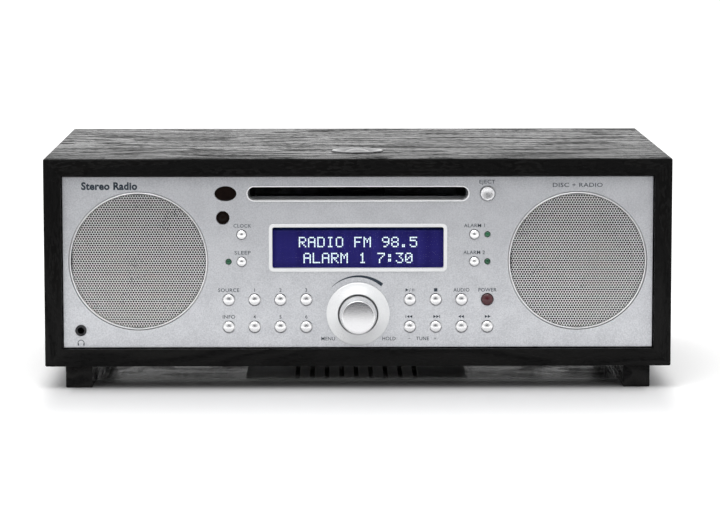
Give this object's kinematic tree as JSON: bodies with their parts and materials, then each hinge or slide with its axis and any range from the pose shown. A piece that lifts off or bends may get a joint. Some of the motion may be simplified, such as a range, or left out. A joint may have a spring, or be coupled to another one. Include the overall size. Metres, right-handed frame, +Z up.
{
  "type": "mini hifi system",
  "caption": "Table-top music system in a black wooden case with a silver front: disc slot, radio display, round speaker grilles, push keys, volume knob and a down-firing woofer.",
  "frame": {"origin": "on the surface it stands on, under the middle of the overall box, knob included", "axes": "+X to the right seen from the front, +Y from the front panel to the back, +Z up"},
  "size_m": [0.3588, 0.2414, 0.1347],
  "materials": {
    "black_ash": "black-stained open-grain ash veneer, satin lacquer",
    "silver_paint": "fine satin silver",
    "silver_steel": "satin silver on perforated steel",
    "satin_chrome": "satin chrome plate",
    "pearl_plastic": "pale silver, semi-gloss",
    "black_plastic": "fine moulded texture",
    "smoked_lens": "infrared-clear, near black",
    "red_lens": "dark red, translucent",
    "green_lens": "dark green, translucent",
    "clear_lens": "clear window",
    "blue_display": "blue dot-matrix display",
    "cone_paper": "pressed paper, black",
    "galvanised_steel": "zinc plated",
    "green_board": "solder resist",
    "roller_rubber": "soft rubber"
  },
  "bodies": {
    "cabinet": {"aerial_socket": "satin_chrome", "alarm_1_lamp": "green_lens", "alarm_2_lamp": "green_lens", "audio_sockets": "black_plastic", "back_panel": "black_plastic", "case": "black_ash", "display_bezel": "pearl_plastic", "display_module": "blue_display", "display_window": "clear_lens", "drive_chassis": "galvanised_steel", "encoder_housing": "galvanised_steel", "foot_left": "black_ash", "foot_right": "black_ash", "front_panel": "silver_paint", "grille_left": "silver_steel", "grille_right": "silver_steel", "headphone_socket": "satin_chrome", "key_board": "green_board", "knob_surround": "pearl_plastic", "light_sensor": "smoked_lens", "main_board": "green_board", "mains_inlet": "black_plastic", "remote_window": "smoked_lens", "sleep_lamp": "green_lens", "slot_trim": "pearl_plastic", "speaker_left_basket": "galvanised_steel", "speaker_right_basket": "galvanised_steel", "touch_disc": "satin_chrome", "transformer": "galvanised_steel", "woofer_basket": "galvanised_steel", "woofer_guard": "black_plastic"},
    "speaker_left_cone": {"speaker_left_cone": "cone_paper"},
    "speaker_right_cone": {"speaker_right_cone": "cone_paper"},
    "woofer_cone": {"woofer_cone": "cone_paper"},
    "disc_roller": {"disc_roller": "roller_rubber"},
    "disc_spindle": {"disc_spindle": "black_plastic"},
    "laser_sled": {"laser_sled": "black_plastic"},
    "encoder_rotor": {"encoder_rotor": "black_plastic"},
    "volume_knob": {"volume_knob": "satin_chrome"},
    "key_source": {"key_source": "satin_chrome"},
    "key_preset_1": {"key_preset_1": "satin_chrome"},
    "key_preset_2": {"key_preset_2": "satin_chrome"},
    "key_preset_3": {"key_preset_3": "satin_chrome"},
    "key_info": {"key_info": "satin_chrome"},
    "key_preset_4": {"key_preset_4": "satin_chrome"},
    "key_preset_5": {"key_preset_5": "satin_chrome"},
    "key_preset_6": {"key_preset_6": "satin_chrome"},
    "key_play_pause": {"key_play_pause": "satin_chrome"},
    "key_stop": {"key_stop": "satin_chrome"},
    "key_audio": {"key_audio": "satin_chrome"},
    "key_power": {"key_power": "red_lens"},
    "key_track_back": {"key_track_back": "satin_chrome"},
    "key_track_next": {"key_track_next": "satin_chrome"},
    "key_rewind": {"key_rewind": "satin_chrome"},
    "key_fast_forward": {"key_fast_forward": "satin_chrome"},
    "key_clock": {"key_clock": "satin_chrome"},
    "key_sleep": {"key_sleep": "satin_chrome"},
    "key_alarm_1": {"key_alarm_1": "satin_chrome"},
    "key_alarm_2": {"key_alarm_2": "satin_chrome"},
    "key_eject": {"key_eject": "satin_chrome"}
  },
  "joints": [
    {"name": "key_source_press", "type": "slide", "parent": "cabinet", "child": "key_source", "axis": [0, 1, 0], "range_m": [0, 0.0008], "stiffness_N_per_m": 500},
    {"name": "key_preset_1_press", "type": "slide", "parent": "cabinet", "child": "key_preset_1", "axis": [0, 1, 0], "range_m": [0, 0.0008], "stiffness_N_per_m": 500},
    {"name": "key_preset_2_press", "type": "slide", "parent": "cabinet", "child": "key_preset_2", "axis": [0, 1, 0], "range_m": [0, 0.0008], "stiffness_N_per_m": 500},
    {"name": "key_preset_3_press", "type": "slide", "parent": "cabinet", "child": "key_preset_3", "axis": [0, 1, 0], "range_m": [0, 0.0008], "stiffness_N_per_m": 500},
    {"name": "key_info_press", "type": "slide", "parent": "cabinet", "child": "key_info", "axis": [0, 1, 0], "range_m": [0, 0.0008], "stiffness_N_per_m": 500},
    {"name": "key_preset_4_press", "type": "slide", "parent": "cabinet", "child": "key_preset_4", "axis": [0, 1, 0], "range_m": [0, 0.0008], "stiffness_N_per_m": 500},
    {"name": "key_preset_5_press", "type": "slide", "parent": "cabinet", "child": "key_preset_5", "axis": [0, 1, 0], "range_m": [0, 0.0008], "stiffness_N_per_m": 500},
    {"name": "key_preset_6_press", "type": "slide", "parent": "cabinet", "child": "key_preset_6", "axis": [0, 1, 0], "range_m": [0, 0.0008], "stiffness_N_per_m": 500},
    {"name": "key_play_pause_press", "type": "slide", "parent": "cabinet", "child": "key_play_pause", "axis": [0, 1, 0], "range_m": [0, 0.0008], "stiffness_N_per_m": 500},
    {"name": "key_stop_press", "type": "slide", "parent": "cabinet", "child": "key_stop", "axis": [0, 1, 0], "range_m": [0, 0.0008], "stiffness_N_per_m": 500},
    {"name": "key_audio_press", "type": "slide", "parent": "cabinet", "child": "key_audio", "axis": [0, 1, 0], "range_m": [0, 0.0008], "stiffness_N_per_m": 500},
    {"name": "key_power_press", "type": "slide", "parent": "cabinet", "child": "key_power", "axis": [0, 1, 0], "range_m": [0, 0.0008], "stiffness_N_per_m": 500},
    {"name": "key_track_back_press", "type": "slide", "parent": "cabinet", "child": "key_track_back", "axis": [0, 1, 0], "range_m": [0, 0.0008], "stiffness_N_per_m": 500},
    {"name": "key_track_next_press", "type": "slide", "parent": "cabinet", "child": "key_track_next", "axis": [0, 1, 0], "range_m": [0, 0.0008], "stiffness_N_per_m": 500},
    {"name": "key_rewind_press", "type": "slide", "parent": "cabinet", "child": "key_rewind", "axis": [0, 1, 0], "range_m": [0, 0.0008], "stiffness_N_per_m": 500},
    {"name": "key_fast_forward_press", "type": "slide", "parent": "cabinet", "child": "key_fast_forward", "axis": [0, 1, 0], "range_m": [0, 0.0008], "stiffness_N_per_m": 500},
    {"name": "key_clock_press", "type": "slide", "parent": "cabinet", "child": "key_clock", "axis": [0, 1, 0], "range_m": [0, 0.0008], "stiffness_N_per_m": 500},
    {"name": "key_sleep_press", "type": "slide", "parent": "cabinet", "child": "key_sleep", "axis": [0, 1, 0], "range_m": [0, 0.0008], "stiffness_N_per_m": 500},
    {"name": "key_alarm_1_press", "type": "slide", "parent": "cabinet", "child": "key_alarm_1", "axis": [0, 1, 0], "range_m": [0, 0.0008], "stiffness_N_per_m": 500},
    {"name": "key_alarm_2_press", "type": "slide", "parent": "cabinet", "child": "key_alarm_2", "axis": [0, 1, 0], "range_m": [0, 0.0008], "stiffness_N_per_m": 500},
    {"name": "key_eject_press", "type": "slide", "parent": "cabinet", "child": "key_eject", "axis": [0, 1, 0], "range_m": [0, 0.0008], "stiffness_N_per_m": 500},
    {"name": "knob_turn", "type": "hinge", "parent": "cabinet", "child": "encoder_rotor", "pos_m": [0, -0.10235, 0.0437], "axis": [0, 1, 0], "continuous": true},
    {"name": "knob_press", "type": "slide", "parent": "encoder_rotor", "child": "volume_knob", "axis": [0, 1, 0], "range_m": [0, 0.0008], "stiffness_N_per_m": 1500},
    {"name": "disc_roller_turn", "type": "hinge", "parent": "cabinet", "child": "disc_roller", "pos_m": [0, -0.07455, 0.106], "axis": [1, 0, 0], "continuous": true},
    {"name": "disc_spindle_turn", "type": "hinge", "parent": "cabinet", "child": "disc_spindle", "pos_m": [0, -0.01255, 0.1128], "axis": [0, 0, 1], "continuous": true},
    {"name": "laser_sled_slide", "type": "slide", "parent": "cabinet", "child": "laser_sled", "axis": [0, 1, 0], "range_m": [0, 0.032]},
    {"name": "speaker_left_cone_stroke", "type": "slide", "parent": "cabinet", "child": "speaker_left_cone", "axis": [0, -1, 0], "range_m": [-0.001, 0.001], "stiffness_N_per_m": 1500},
    {"name": "speaker_right_cone_stroke", "type": "slide", "parent": "cabinet", "child": "speaker_right_cone", "axis": [0, -1, 0], "range_m": [-0.001, 0.001], "stiffness_N_per_m": 1500},
    {"name": "woofer_cone_stroke", "type": "slide", "parent": "cabinet", "child": "woofer_cone", "axis": [0, 0, -1], "range_m": [-0.0025, 0.0025], "stiffness_N_per_m": 2500}
  ]
}
